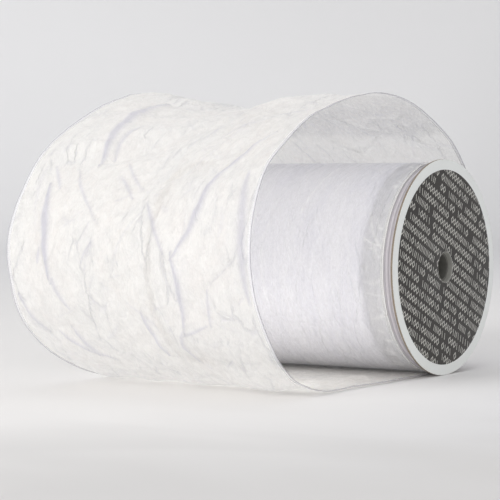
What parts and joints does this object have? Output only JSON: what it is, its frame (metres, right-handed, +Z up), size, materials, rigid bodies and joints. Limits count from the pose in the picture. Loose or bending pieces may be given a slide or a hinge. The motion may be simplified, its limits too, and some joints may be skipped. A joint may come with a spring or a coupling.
{
  "type": "ribbon spool",
  "caption": "Card spool of wide crinkled sheer ribbon, lying on its flange edges, with a loose turn of ribbon pulled out into a large open loop round it.",
  "frame": {"origin": "middle of the spindle bore, half way between the hub plugs' faces", "axes": "+X along the spindle bore towards the right labelled flange, -Y to the front where the loose loop stands, +Z up from the surface it lies on"},
  "size_m": [0.1608, 0.2436, 0.1526],
  "materials": {
    "core_card": "matte",
    "clear_tape": "gloss",
    "grey_plastic": "satin",
    "greyboard": "matte",
    "white_facing": "satin",
    "printed_label": "satin",
    "wound_organza": "satin",
    "interleaf": "satin",
    "organza": "satin",
    "selvedge": "satin"
  },
  "bodies": {
    "loose_ribbon": {"ribbon_loop": "organza", "loop_edge_right": "selvedge", "loop_edge_left": "selvedge"},
    "spool": {"core_tube": "core_card", "core_tape": "clear_tape", "hub_plug_right": "grey_plastic", "hub_plug_left": "grey_plastic", "flange_board_right": "greyboard", "flange_board_left": "greyboard", "flange_facing_right": "white_facing", "flange_facing_left": "white_facing", "label_disc_right": "printed_label", "label_disc_left": "printed_label", "wound_ribbon": "wound_organza", "interleaf_paper": "interleaf", "last_turn": "organza", "turn_edge_right": "selvedge", "turn_edge_left": "selvedge"}
  },
  "joints": [
    {"name": "spool_turn", "type": "hinge", "parent": "loose_ribbon", "child": "spool", "pos_m": [0, 0, 0], "axis": [1, 0, 0], "continuous": true}
  ]
}
